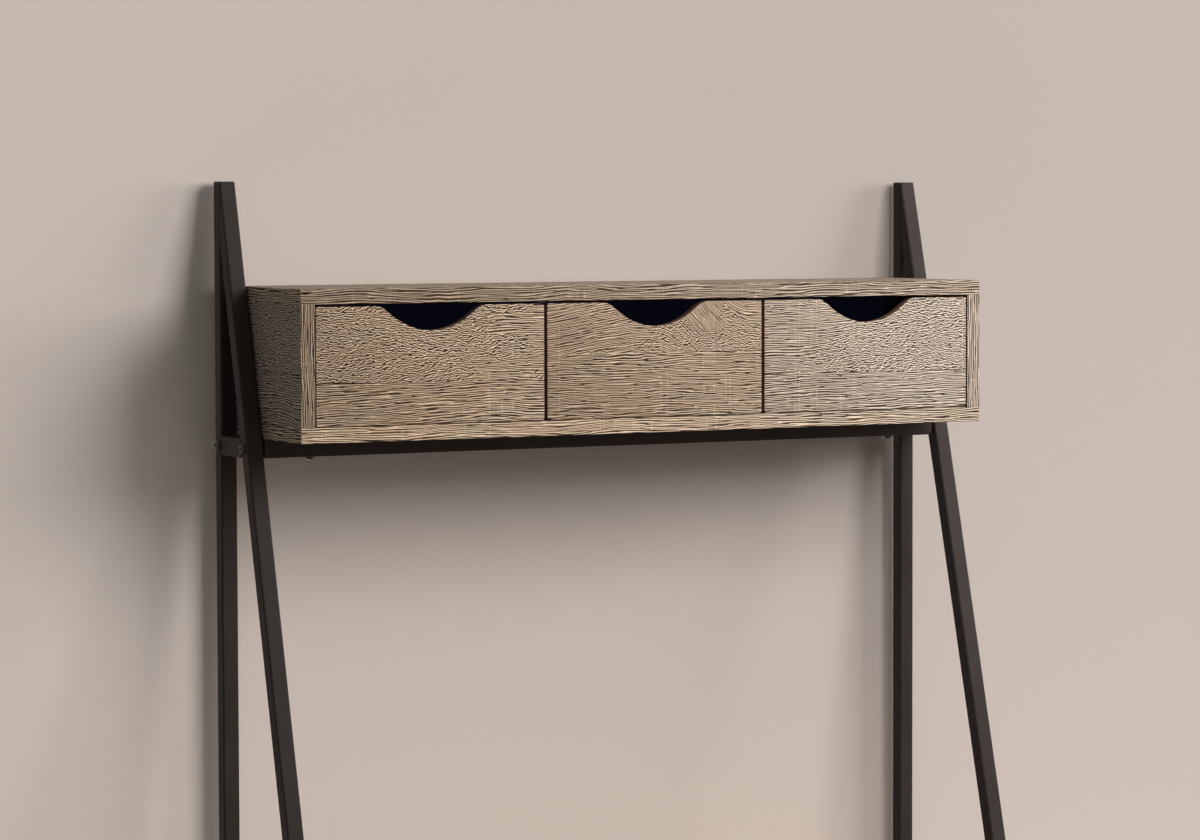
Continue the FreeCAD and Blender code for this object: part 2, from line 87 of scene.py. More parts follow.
def make_piece(name, points, faces, materials, body, slot, replaced=()):
    """Puts a surface in millimetres into an object in metres, and hands it to its body.

    Six times the enclosed volume is the sum of a . (b x c) over the faces' triangles. Where
    it comes out negative, the faces look inwards and are turned.
    """
    points = np.asarray(points, float).reshape(-1, 3) / 1000
    faces = [list(face) for face in faces]
    six_volumes = sum(np.sum(np.cross(points[face[1:-1]], points[face[2:]]) @ points[face[0]])
                      for face in faces)
    if six_volumes < 0:
        faces = [face[::-1] for face in faces]
    mesh = bpy.data.meshes.new(name)
    mesh.from_pydata(points.tolist(), [], faces)
    mesh.validate()
    mesh.shade_smooth()
    mesh.set_sharp_from_angle(angle=math.radians(sharp_angle))
    piece = bpy.data.objects.new(name, mesh)
    bpy.context.scene.collection.objects.link(piece)
    for material in materials:
        mesh.materials.append(material)
    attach(piece, body)
    if replaced:
        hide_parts(*replaced)
    return piece


def feed(tree, node, feeds):
    """Gives each named socket of a node its value, or a link to the output that drives it."""
    for socket, value in dict(feeds).items():
        if isinstance(value, bpy.types.NodeSocket):
            tree.links.new(value, node.inputs[socket])
        else:
            node.inputs[socket].default_value = value


def add(tree, kind, feeds=(), **settings):
    """One shader node, with its properties set and its sockets fed."""
    made = tree.nodes.new("ShaderNode" + kind)
    for name, value in settings.items():
        setattr(made, name, value)
    feed(tree, made, feeds)
    return made


def calc(tree, operation, *terms, clamp=False):
    """Output of a Math node with these terms."""
    return add(tree, "Math", enumerate(terms), operation=operation, use_clamp=clamp).outputs[0]


def noise(tree, place, scale, detail=2.0, roughness=0.5):
    """Value of a noise texture at a place."""
    feeds = {"Vector": place, "Scale": scale, "Detail": detail, "Roughness": roughness}
    return add(tree, "TexNoise", feeds).outputs["Fac"]


def ease_between(tree, value, low, high, to_low=0.0, to_high=1.0):
    """Smooth step of a value between two levels."""
    feeds = {"Value": value, "From Min": low, "From Max": high, "To Min": to_low, "To Max": to_high}
    return add(tree, "MapRange", feeds, interpolation_type="SMOOTHSTEP").outputs[0]


def blend_colour(tree, share, first, second):
    """Mix of two colours."""
    return add(tree, "Mix", {0: share, 6: first, 7: second}, data_type="RGBA").outputs[2]


def bump(tree, height, strength, distance):
    """Normals of a surface with this relief, which is as high as the distance in metres."""
    return add(tree, "Bump", {"Height": height, "Strength": strength, "Distance": distance}).outputs[0]


def new_group(name, takes, gives):
    """Empty shader node group, with its input and output nodes. A socket is (name, kind, value)."""
    group = bpy.data.node_groups.new(name, "ShaderNodeTree")
    for socket, kind, value in takes:
        made = group.interface.new_socket(socket, in_out="INPUT", socket_type="NodeSocket" + kind)
        if value is not None:
            made.default_value = value
    for socket, kind in gives:
        group.interface.new_socket(socket, in_out="OUTPUT", socket_type="NodeSocket" + kind)
    return group, group.nodes.new("NodeGroupInput").outputs, group.nodes.new("NodeGroupOutput").inputs


def new_material(name):
    """Material with its node tree and its Principled BSDF."""
    material = bpy.data.materials.new(name)
    material.use_nodes = True
    return material, material.node_tree, material.node_tree.nodes["Principled BSDF"]


def powder_coat_group():
    """Powder coat: fine orange peel, faint clouding of the colour and a little settled dust."""
    group, takes, gives = new_group(
        "powder_coat",
        [("Colour", "Color", (0.042, 0.033, 0.0295, 1)), ("Dust", "Float", 0.1)],
        [("Colour", "Color"), ("Roughness", "Float"), ("Height", "Float")])
    place = add(group, "TexCoord").outputs["Object"]
    peel = noise(group, place, 900.0, 2.0, 0.55)
    cloud = noise(group, place, 9.0, 4.0, 0.6)
    specks = ease_between(group, noise(group, place, 2600.0, 0.0), 0.66, 0.8)
    lighter = blend_colour(group, ease_between(group, cloud, 0.35, 0.7, 0.0, 0.5),
                           takes["Colour"], (0.054, 0.044, 0.040, 1))
    dusty = calc(group, "MULTIPLY", specks, takes["Dust"])
    speckled = blend_colour(group, dusty, lighter, (0.2, 0.18, 0.16, 1))
    group.links.new(speckled, gives["Colour"])
    group.links.new(ease_between(group, cloud, 0.3, 0.75, 0.42, 0.55), gives["Roughness"])
    group.links.new(peel, gives["Height"])
    return group


powder_coat = powder_coat_group()
black_steel, tree, shader = new_material("black_powder_coated_steel")
coat = add(tree, "Group", node_tree=powder_coat).outputs
feed(tree, shader, {"Base Color": coat["Colour"], "Roughness": coat["Roughness"],
                    "Specular IOR Level": 0.04, "Normal": bump(tree, coat["Height"], 0.25, 0.0003)})


def steel_tube(name, origin, across, over, size, low_planes, high_planes, replaced):
    """Open length of tube between planes.

    A point of the wall's outline, origin + x across + y over, runs along the tube's axis by
    t = (q - point) . n / (axis . n) to the plane through q square to n. Of the low planes the
    farthest along counts, and of the high planes the nearest.
    """
    across, over = np.array(across, float), np.array(over, float)
    axis = np.cross(across, over)

    def ring(outline, planes, pick):
        """One end of an outline, on the planes that cut the tube there."""
        base = np.array(origin, float) + outline[0] @ np.array([across, over])
        reach = pick([((np.array(q) - base) @ np.array(n)) / (axis @ np.array(n)) for q, n in planes], 0)
        return base + reach[:, None] * axis

    outer = rounded_outline(size[0], size[1], tube_corner)
    inner = rounded_outline(size[0] - 2 * tube_wall, size[1] - 2 * tube_wall, tube_corner - tube_wall)
    rings = [ring(inner, low_planes, np.max), ring(outer, low_planes, np.max),
             ring(outer, high_planes, np.min), ring(inner, high_planes, np.min)]
    faces = band_faces(4, len(rings[0]), closed=True)
    return make_piece(name, np.concatenate(rings), faces, [black_steel], "desk", "black_steel", replaced)


for side in ("left", "right"):
    low, high = span(side + "_rear_post")
    middle = (low + high) / 2
    steel_tube(side + "_post_tube", (middle[0], middle[1], 0), (1, 0, 0), (0, 1, 0), (tube_size, tube_size),
               [((0, 0, low[2]), (0, 0, 1))], [((0, 0, high[2]), (0, 0, 1))], [side + "_rear_post"])

# The leaning front legs: the same tube, sawn level at the floor, and at the head mitred along
# the post's front face, where they are welded to it. They part from the post as they go down.
frame_height = 1620.0
frame_depth = 450.0
post_front_y = frame_depth / 2 - tube_size
lean = math.atan((frame_depth - tube_size) / frame_height)
lean_back = np.array([0, math.cos(lean), -math.sin(lean)])
toe_y = -frame_depth / 2
leg_rear_point = np.array([0, toe_y, 0]) + tube_size * lean_back

for side in ("left", "right"):
    low, high = span(side + "_front_leg")
    origin = np.array([(low[0] + high[0]) / 2, toe_y, 0]) + lean_back * tube_size / 2
    head_planes = [((0, 0, high[2]), (0, 0, 1)), ((0, post_front_y, 0), (0, 1, 0))]
    steel_tube(side + "_leg_tube", origin, (1, 0, 0), lean_back, (tube_size, tube_size),
               [((0, 0, low[2]), (0, 0, 1))], head_planes, [side + "_front_leg"])

# The side rails: three short level tubes in each side frame, from the post to the rear of the
# leg, under the drawer case, under the worktop and just above the floor. Welded at both ends.
for side in ("left", "right"):
    for rail in ("case", "worktop", "low"):
        node = side + "_" + rail + "_rail"
        low, high = span(node)
        middle = (low + high) / 2
        steel_tube(node + "_tube", (middle[0], 0, middle[2]), (0, 0, 1), (1, 0, 0),
                   (high[2] - low[2], tube_size), [(leg_rear_point, lean_back)],
                   [((0, post_front_y, 0), (0, 1, 0))], [node])

# The crossbars: level tubes that hang between the side frames, a pair under the case, a pair
# under the worktop and one low stretcher between the posts.
crossbars = ("case_front_crossbar", "case_rear_crossbar", "worktop_front_crossbar",
             "worktop_rear_crossbar", "low_stretcher")
for bar in crossbars:
    low, high = span(bar)
    middle = (low + high) / 2
    steel_tube(bar + "_tube", (0, middle[1], middle[2]), (0, 1, 0), (0, 0, 1),
               (tube_size, high[2] - low[2]),
               [((low[0], 0, 0), (1, 0, 0))], [((high[0], 0, 0), (1, 0, 0))], [bar])

# The weld beads: short runs across the top and the underside of each rail's ends, laid before
# the frame was coated, so they have the coat's colour. The flush sides are ground flat.
bead_radius = 1.5
bead_pitch = 1.9
bead_ripple = 0.12
bead_inset = 2.5
bead_diagonal = 0.7
bead_rings = 60
bead_sides = 12


def weld_bead(start, end, out):
    """Run of weld along a line, as rings about it.

    Its radius is r (1 + ripple cos(2 pi s / pitch)) at a distance s along the run, times
    sqrt(c (2 - c)) near the two ends, with c the distance from the end over r. Out is the
    side that it stands proud on.
    """
    start, end, out = (np.array(each, float) for each in (start, end, out))
    length = np.linalg.norm(end - start)
    along = (end - start) / length
    third = np.cross(along, out)
    s = np.linspace(0, length, bead_rings)
    closing = np.clip(np.minimum(s, length - s) / bead_radius, 0.04, 1)
    ripple = 1 + bead_ripple * np.cos(2 * np.pi * s / bead_pitch)
    radius = bead_radius * ripple * np.sqrt(closing * (2 - closing))
    turn = np.linspace(0, 2 * np.pi, bead_sides, endpoint=False)
    round_it = np.cos(turn)[:, None] * out + np.sin(turn)[:, None] * third
    return start + s[:, None, None] * along + radius[:, None, None] * round_it


def stacked(blocks):
    """Points and faces of several stacks of rings as one mesh, with a flat face over each end."""
    points, faces, start = [], [], 0
    for rings in blocks:
        count, around = rings.shape[:2]
        last = start + (count - 1) * around
        faces += (band_faces(count, around) + start).tolist()
        faces += [list(range(start, start + around))[::-1], list(range(last, last + around))]
        points.append(rings.reshape(-1, 3))
        start = last + around
    return np.concatenate(points), faces


for side in ("left", "right"):
    runs = []
    for rail in ("case", "worktop", "low"):
        low, high = span(side + "_" + rail + "_rail")
        x0, x1 = low[0] + bead_inset, high[0] - bead_inset
        for z, turn_out in ((low[2], -1), (high[2], 1)):
            leg_y = leg_rear_point[1] + (z - leg_rear_point[2]) * math.tan(lean)
            for y, away in ((post_front_y, -1), (leg_y, 1)):
                out = (0, away * bead_diagonal, turn_out * bead_diagonal)
                runs.append(weld_bead((x0, y, z), (x1, y, z), out))
    make_piece(side + "_weld_beads", *stacked(runs), [black_steel], "desk", "black_steel")

# The tube ends: black polyethylene push-in caps on the posts' heads, and glides under the
# posts and the legs. Their stems are hidden in the tubes.
cap_ease = 0.9
foot_ease = 1.0
seam_ease = 0.05
ease_steps = 4


def plastic_material():
    """Moulded black plastic: faint flow marks in the colour and a fine spark-eroded grain."""
    material, tree, shader = new_material("black_moulded_plastic")
    place = add(tree, "TexCoord").outputs["Object"]
    flow = noise(tree, place, 60.0, 3.0)
    spark = noise(tree, place, 2500.0, 1.0)
    feed(tree, shader, {
        "Base Color": blend_colour(tree, flow, (0.016, 0.015, 0.015, 1), (0.024, 0.0225, 0.0225, 1)),
        "Roughness": ease_between(tree, flow, 0.3, 0.7, 0.44, 0.56),
        "Specular IOR Level": 0.2, "Normal": bump(tree, spark, 0.3, 0.0001)})
    return material


black_plastic = plastic_material()


def eased_rings(outline, low, high, low_ease, high_ease, hold=0.3):
    """Rings of a bar with rounded end arrises, as (x, y, height).

    Towards an end the outline draws in by e (1 - sin t) while the height nears the end by
    e (1 - cos t), with t from a right angle to nought. One more ring a little way along
    the bar from each arris keeps the flats flat.
    """
    points, outward = outline
    turn = np.linspace(0, np.pi / 2, ease_steps + 1)
    inset = np.concatenate([low_ease * (1 - np.sin(turn)), [0, 0], high_ease * (1 - np.sin(turn[::-1]))])
    straight = [low + low_ease + hold, high - high_ease - hold]
    height = np.concatenate([low + low_ease * (1 - np.cos(turn)), straight,
                             high - high_ease * (1 - np.cos(turn[::-1]))])
    flat = points[None] - inset[:, None, None] * outward[None]
    return np.concatenate([flat, np.broadcast_to(height[:, None, None], flat.shape[:2] + (1,))], 2)


cap_outline = rounded_outline(tube_size, tube_size, tube_corner)
heads = []
feet = []
for side in ("left", "right"):
    low, high = span(side + "_rear_post")
    centre = np.array([(low[0] + high[0]) / 2, (low[1] + high[1]) / 2, 0])
    heads.append(eased_rings(cap_outline, high[2], frame_height, seam_ease, cap_ease) + centre)
    feet.append(eased_rings(cap_outline, 0, low[2], foot_ease, seam_ease) + centre)
make_piece("post_cap_heads", *stacked(heads), [black_plastic], "desk", "black_plastic", ["post_caps"])
make_piece("post_feet", *stacked(feet), [black_plastic], "desk", "black_plastic", ["post_glides"])

feet = []
level_depth = tube_size / math.cos(lean)
foot_outline = rounded_outline(tube_size, level_depth, tube_corner)
for side in ("left", "right"):
    low, high = span(side + "_front_leg")
    rings = eased_rings(foot_outline, 0, low[2], foot_ease, seam_ease)
    rings[..., 1] += rings[..., 2] * math.tan(lean) + toe_y + level_depth / 2
    rings[..., 0] += (low[0] + high[0]) / 2
    feet.append(rings)
make_piece("leg_feet", *stacked(feet), [black_plastic], "desk", "black_plastic", ["leg_glides"])

# The crossbar fixings: a black button-head bolt with a hexagon socket goes in through each
# post or leg, and turns into a collared plastic insert in the crossbar's end. Smaller screws
# of the same kind rise through the crossbars into the boards.
frame_bolt = dict(shank=3.0, length=37.0, rim=6.25, tall=4.0, key=4.0)
board_screw = dict(shank=2.25, length=35.0, rim=5.5, tall=3.5, key=3.0)
collar_profile = [(3.2, -0.5), (6.7, -0.5), (7.0, 0), (7.0, 3.0), (3.2, 3.0)]
bolt_face_x = 485.0
bar_end_x = 462.0
screw_x = 401
turned_sides = 48
dome_rings = 8


def turned_part(profile, hexagon_from, origin, axis):
    """Turned part with a hexagon socket, about an axis.

    Each (radius, height) of the profile is a ring. From the given ring on, the radius is the
    flat distance over cos(((t + 30) mod 60) - 30 degrees), which is a hexagon.
    """
    axis = np.array(axis, float)
    across = np.cross(axis, (0, 0, 1)) if abs(axis[2]) < 0.9 else np.array([1.0, 0, 0])
    over = np.cross(axis, across)
    turn = np.linspace(0, 2 * np.pi, turned_sides, endpoint=False)
    flats = np.cos((turn + np.pi / 6) % (np.pi / 3) - np.pi / 6)
    radius, height = np.array(profile, float).T
    six_sided = (np.arange(len(radius)) >= hexagon_from)[:, None]
    radius = np.where(six_sided, radius[:, None] / flats, radius[:, None])
    ring = radius[..., None] * (np.cos(turn)[:, None] * across + np.sin(turn)[:, None] * over)
    return np.array(origin, float) + ring + height[:, None, None] * axis


def button_head(origin, axis, shank, length, rim, tall, key):
    """Button-head screw: its dome is a quarter ellipse from the rim to the flat crown."""
    turn = np.linspace(0, np.pi / 2, dome_rings)
    crown = 0.5 * rim
    edge = 0.25
    dome = np.stack([crown + (rim - crown) * np.cos(turn), edge + (tall - edge) * np.sin(turn)], 1)
    stem = [(0.01, -length), (shank - 0.4, -length), (shank, 0.6 - length), (shank, 0)]
    flat = key / 2
    socket = [(flat + 0.35, tall), (flat, tall - 0.3), (flat, 0.4 * tall), (0.01, 0.3 * tall)]
    profile = stem + [(rim - 0.15, 0)] + dome.tolist() + socket
    return turned_part(profile, len(profile) - 3, origin, axis)


def screw_material():
    """Blackened screws: the oxide is thin in patches, where the steel glints a little."""
    material, tree, shader = new_material("black_oxide_steel")
    place = add(tree, "TexCoord").outputs["Object"]
    patch = noise(tree, place, 700.0, 3.0)
    feed(tree, shader, {
        "Base Color": blend_colour(tree, patch, (0.010, 0.010, 0.010, 1), (0.035, 0.033, 0.031, 1)),
        "Roughness": ease_between(tree, patch, 0.3, 0.7, 0.28, 0.45), "Metallic": 0.35})
    return material


black_oxide = screw_material()
bolts = []
collars = []
for bar in crossbars:
    low, high = span(bar)
    middle = (low + high) / 2
    for way in (-1, 1):
        bolts.append(button_head((way * bolt_face_x, middle[1], middle[2]), (way, 0, 0), **frame_bolt))
        collars.append(turned_part(collar_profile, len(collar_profile),
                                   (way * bar_end_x, middle[1], middle[2]), (way, 0, 0)))
make_piece("frame_bolts", *stacked(bolts), [black_oxide], "desk", "black_screw", ["crossbar_bolts"])
make_piece("bar_collars", *stacked(collars), [black_plastic], "desk", "black_plastic",
           ["crossbar_inserts"])

for board, stations in (("worktop", (-screw_x, 0, screw_x)), ("case", (-screw_x, screw_x))):
    screws = []
    for bar in ("_front_crossbar", "_rear_crossbar"):
        low, high = span(board + bar)
        for x in stations:
            screws.append(button_head((x, (low[1] + high[1]) / 2, low[2]), (0, 0, -1), **board_screw))
    make_piece(board + "_screw_heads", *stacked(screws), [black_oxide], "desk", "black_screw",
               [board + "_screws"])

# The boards: 18 mm particle board faced with a grey-brown oak print, pressed with an open
# grain, and banded along the edges that show. Here the case's top and bottom, with the grain
# along the desk.
board_arris = 0.8
rear_arris = 0.3
butt_arris = 0.15
plank_width = 124.0
waves_per_cell = 1.2
# Phase on from each pore to its pale lip, which is partly print and partly painted highlight.
lip_highlight_phase = 2.5


def grain_field_group():
    """The grain as waves across it, in millimetres: their height, and the height a little on.

    Level grain is Gabor noise over x and a bent y, stretched along x. The bent y is y plus slow
    noises, less an arch that rises and then falls, each by a smooth step along x. Where the
    grain curls it gives way to shorter waves that slant, one way or the other in patches. The
    two heights are the noise's intensity times the sine of its phase, and times the sine of its
    phase plus a share of a turn.
    """
    group, takes, gives = new_group(
        "grain_field",
        [("Place", "Vector", None), ("Curl", "Float", 0.0), ("Rise", "Float", 0.0), ("Fall", "Float", 0.0),
         ("Arch X", "Float", 0.0), ("Length", "Float", 15.0), ("Width", "Float", 2.2)],
        [("Height", "Float"), ("Next Height", "Float")])
    x, y, bank = add(group, "SeparateXYZ", {0: takes["Place"]}).outputs

    def swing(along, across, seed, reach):
        """Noise with features of these two lengths, from minus to plus about reach."""
        feeds = {0: calc(group, "DIVIDE", x, along), 1: calc(group, "DIVIDE", y, across),
                 2: calc(group, "ADD", bank, seed)}
        value = noise(group, add(group, "CombineXYZ", feeds).outputs[0], 1.0, 1.0)
        return calc(group, "MULTIPLY", calc(group, "SUBTRACT", value, 0.5), 2 * reach)

    def waves(along, across, shorter, turned, order):
        """Gabor noise with waves as wide as the grain's width, and its heights as a vector."""
        length = calc(group, "MULTIPLY", takes["Length"], shorter)
        shift = calc(group, "MULTIPLY", bank, 3.7)
        feeds = {0: calc(group, "ADD", calc(group, "DIVIDE", along, length), shift),
                 1: calc(group, "DIVIDE", across, calc(group, "MULTIPLY", takes["Width"], waves_per_cell))}
        place = add(group, "CombineXYZ", feeds).outputs[0]
        feeds = {"Vector": place, "Scale": 1.0, "Frequency": waves_per_cell, "Anisotropy": order,
                 4: turned}
        gabor = add(group, "TexGabor", feeds).outputs
        turn = calc(group, "MULTIPLY", gabor["Phase"], 2 * math.pi)
        here = calc(group, "SINE", turn)
        further = calc(group, "SINE", calc(group, "ADD", turn, lip_highlight_phase))
        both = add(group, "CombineXYZ", {0: here, 1: further}).outputs[0]
        feeds = {0: both, "Scale": gabor["Intensity"]}
        return add(group, "VectorMath", feeds, operation="SCALE").outputs[0]

    waver = swing(26.0, 22.0, 4.4, 1.1)
    swell = swing(150.0, 60.0, 3.1, 8.0)
    past = calc(group, "SUBTRACT", x, takes["Arch X"])
    up = calc(group, "MULTIPLY", ease_between(group, past, -160.0, 0.0), takes["Rise"])
    down = calc(group, "MULTIPLY", ease_between(group, past, 0.0, 130.0), takes["Fall"])
    bend = calc(group, "ADD", swell, calc(group, "SUBTRACT", down, up))
    bent = calc(group, "ADD", calc(group, "ADD", y, waver), bend)
    level = waves(x, bent, 1.0, math.pi / 2, 1.0)
    slant = ease_between(group, swing(60.0, 44.0, 8.8, 1.0), -0.2, 0.2,
                         math.pi / 2 - 0.1, math.pi / 2 + 0.35)
    curly = waves(x, calc(group, "ADD", y, waver), 0.24, slant, 0.68)
    mixed = add(group, "Mix", {0: takes["Curl"], 4: level, 5: curly}, data_type="VECTOR").outputs[1]
    heights = add(group, "SeparateXYZ", {0: mixed}).outputs
    group.links.new(heights[0], gives["Height"])
    group.links.new(heights[1], gives["Next Height"])
    return group


grain_field = grain_field_group()


def oak_grain_group():
    """Printed and embossed oak, sawn: crisp dark pores with a pale lip beside each.

    All sizes are in millimetres; x runs along the grain and y across it. Planks of one width meet at the
    joint and on from it, each with its own shade, and every second one curls. The pores are the waves' high
    parts, and each pale lip is the high part of the same waves a little on. That lip is partly the print's
    pale streak and partly painted highlight: the light caught by the embossed ridge beside the pore.
    """
    group, takes, gives = new_group(
        "oak_grain",
        [("Place", "Vector", None), ("Curl", "Float", 0.3), ("Joint", "Float", 50.0),
         ("Joint Line", "Float", 1.0), ("Rise", "Float", 0.0), ("Fall", "Float", 0.0),
         ("Arch X", "Float", 0.0), ("Length", "Float", 24.0), ("Tone", "Float", 0.5),
         ("Shade", "Float", 1.0), ("Contrast", "Float", 1.0)],
        [("Colour", "Color"), ("Roughness", "Float"), ("Height", "Float")])
    x, y = add(group, "SeparateXYZ", {0: takes["Place"]}).outputs[:2]

    def plus(*terms):
        """Sum of any number of terms."""
        total = terms[0]
        for term in terms[1:]:
            total = calc(group, "ADD", total, term)
        return total

    def times(*terms):
        """Product of any number of terms."""
        total = terms[0]
        for term in terms[1:]:
            total = calc(group, "MULTIPLY", total, term)
        return total

    past_joint = calc(group, "SUBTRACT", y, takes["Joint"])
    plank = calc(group, "FLOOR", calc(group, "DIVIDE", past_joint, plank_width))
    above = calc(group, "SUBTRACT", 1.0, calc(group, "FLOORED_MODULO", plank, 2.0))
    bank = times(plank, 37.0)

    def cloud(along, across, seed, detail=1.0):
        """Noise over the plank, with features of these two lengths."""
        feeds = {0: calc(group, "DIVIDE", x, along), 1: calc(group, "DIVIDE", y, across),
                 2: plus(bank, seed)}
        return noise(group, add(group, "CombineXYZ", feeds).outputs[0], 1.0, detail)

    zone = ease_between(group, cloud(60.0, 40.0, 7.7), 0.38, 0.62)
    more_curl = calc(group, "SUBTRACT", times(takes["Curl"], 2.0), 1.0)
    curl = times(calc(group, "ADD", zone, more_curl, clamp=True), above)

    place = add(group, "CombineXYZ", {0: x, 1: y, 2: bank}).outputs[0]
    feeds = {"Place": place, "Curl": curl, "Rise": times(takes["Rise"], above),
             "Fall": times(takes["Fall"], above), "Arch X": takes["Arch X"],
             "Length": takes["Length"], "Width": 2.3}
    height, next_height = add(group, "Group", feeds, node_tree=grain_field).outputs
    pores = ease_between(group, height, -0.03, 0.05)
    # Pale lip beside each pore: partly the print's pale streak, partly painted highlight of the light on
    # the embossed ridge.
    lips_print_and_highlight = ease_between(group, next_height, -0.01, 0.06)
    fine = cloud(14.0, 1.6, 33.0, 0.0)
    dark_bands = ease_between(group, cloud(110.0, 14.0, 41.0), 0.54, 0.40)
    depth = plus(0.86, times(curl, 0.08), times(dark_bands, 0.10))

    wander = times(calc(group, "SUBTRACT", cloud(60.0, 500.0, 5.5), 0.5), 3.0)
    off_joint = calc(group, "PINGPONG", plus(past_joint, wander), plank_width / 2)
    joint = times(ease_between(group, off_joint, 1.0, 0.4),
                  ease_between(group, cloud(45.0, 500.0, 9.5), 0.46, 0.60), takes["Joint Line"])

    saw_place = plus(x, times(calc(group, "SUBTRACT", cloud(30.0, 30.0, 2.2, 0.0), 0.5), 3.0))
    saw_at = add(group, "CombineXYZ", {0: calc(group, "DIVIDE", saw_place, 2.8), 1: 0.0, 2: 4.0})
    saw_marks = times(ease_between(group, noise(group, saw_at.outputs[0], 1.0, 0.0), 0.60, 0.67),
                      ease_between(group, cloud(40.0, 26.0, 14.0), 0.47, 0.58))

    tint = cloud(60.0, 18.0, 17.0, 2.0)
    warm = blend_colour(group, takes["Tone"], (0.330, 0.168, 0.078, 1), (0.330, 0.250, 0.190, 1))
    green = blend_colour(group, takes["Tone"], (0.310, 0.180, 0.083, 1), (0.325, 0.258, 0.192, 1))
    pale = blend_colour(group, takes["Tone"], (0.84, 0.60, 0.39, 1), (0.82, 0.70, 0.57, 1))
    dark = blend_colour(group, takes["Tone"], (0.006, 0.002, 0.001, 1), (0.026, 0.016, 0.010, 1))
    layers = [(times(dark_bands, 0.18), dark), (times(lips_print_and_highlight, depth, 0.88), pale),
              (times(saw_marks, 0.72), pale), (times(pores, depth), dark), (joint, dark)]
    ground = blend_colour(group, ease_between(group, tint, 0.40, 0.60), warm, green)
    for share, colour in layers:
        ground = blend_colour(group, times(share, takes["Contrast"]), ground, colour)
    lot = add(group, "TexWhiteNoise", {"W": plus(bank, 0.5)}, noise_dimensions="1D").outputs["Value"]
    shade = times(takes["Shade"], plus(0.98, times(lot, 0.04)))
    shaded = add(group, "VectorMath", {0: ground, "Scale": shade}, operation="SCALE").outputs[0]
    held = add(group, "VectorMath", {0: shaded, 1: (0.85, 0.85, 0.85)}, operation="MINIMUM").outputs[0]
    group.links.new(held, gives["Colour"])
    sunk = calc(group, "MAXIMUM", times(pores, depth), joint)
    group.links.new(calc(group, "SUBTRACT", times(fine, 0.3), sunk), gives["Height"])
    group.links.new(ease_between(group, sunk, 0.0, 1.0, 0.55, 0.75), gives["Roughness"])
    return group


oak_grain = oak_grain_group()


def oak_laminate(name, grain, across, offset, tone=(0.5, 0.5), curl=(0.5, 0.5), shade=(1.0, 1.0),
                 over=(-462.0, 462.0), **values):
    """Oak-print material. Grain and across are the axes, 0 to 2, along and across the grain.

    Tone, curl and shade go from their first value to their second along the grain, over that
    span of the desk in millimetres, as the print's pattern repeats only after a whole sheet.
    """
    material, tree, shader = new_material(name)
    parts = add(tree, "SeparateXYZ", {0: add(tree, "TexCoord").outputs["Object"]}).outputs
    laid = add(tree, "CombineXYZ", {0: parts[grain], 1: parts[across]}).outputs[0]
    scaled = add(tree, "VectorMath", {0: laid, 1: (1000.0, 1000.0, 1000.0), 2: tuple(offset) + (0.0,)},
                 operation="MULTIPLY_ADD").outputs[0]
    feeds = {socket.replace("_", " ").title(): value for socket, value in values.items()}
    for socket, (first, last) in (("Tone", tone), ("Curl", curl), ("Shade", shade)):
        feeds[socket] = ease_between(tree, parts[grain], over[0] / 1000, over[1] / 1000, first, last)
    oak = add(tree, "Group", {"Place": scaled, **feeds}, node_tree=oak_grain).outputs
    feed(tree, shader, {"Base Color": oak["Colour"], "Roughness": oak["Roughness"],
                        "Specular IOR Level": 0.2, "Normal": bump(tree, oak["Height"], 0.7, 0.0004)})
    return material


def oak_band(name, grain, across, offset, **look):
    """Narrow band of the same print, with straight, long grain and no joint."""
    return oak_laminate(name, grain, across, offset, curl=(0, 0), joint=-900.0, length=34.0, **look)


def dress_faces(piece, *ways):
    """Gives each face the material of the first way that it looks along, or else the first one.

    A way is (axis, sign, least share of the face's outward direction along that axis). Sign 0
    takes both ways along it.
    """
    faces = piece.data.polygons
    normals = np.zeros(len(faces) * 3)
    faces.foreach_get("normal", normals)
    normals = normals.reshape(-1, 3)
    marks = np.zeros(len(faces), np.int32)
    for number, (axis, sign, share) in reversed(list(enumerate(ways, 1))):
        along = sign * normals[:, axis] if sign else np.abs(normals[:, axis])
        marks[along > share] = number
    faces.foreach_set("material_index", marks)


long_face = oak_laminate("oak_laminate_long", 0, 1, (900.0, 35.0), curl=(0.3, 0.3), joint=70.0)
long_end = oak_band("oak_band_across", 1, 2, (500.0, -1310.0), tone=(0.4, 0.4))
bands = {
    "case_bottom": oak_band("oak_band_bottom", 0, 2, (300.0, -1310.0), tone=(0.15, 0.6), shade=(1.24, 1.0)),
    "case_top": oak_band("oak_band_top", 0, 2, (1700.0, -1310.0), tone=(0.2, 0.6), shade=(0.68, 0.76)),
}
for node, long_band in bands.items():
    low, high = span(node)
    middle = (low + high) / 2
    outline = rounded_outline(high[1] - low[1], high[2] - low[2], board_arris)
    rings = eased_rings(outline, low[0], high[0], board_arris, board_arris)[..., [2, 0, 1]]
    piece = make_piece(node + "_board", *stacked([rings + np.array([0, middle[1], middle[2]])]),
                       [long_face, long_band, long_end], "desk", "oak_board", [node])
    dress_faces(piece, (1, 0, 0.7), (0, 0, 0.7))

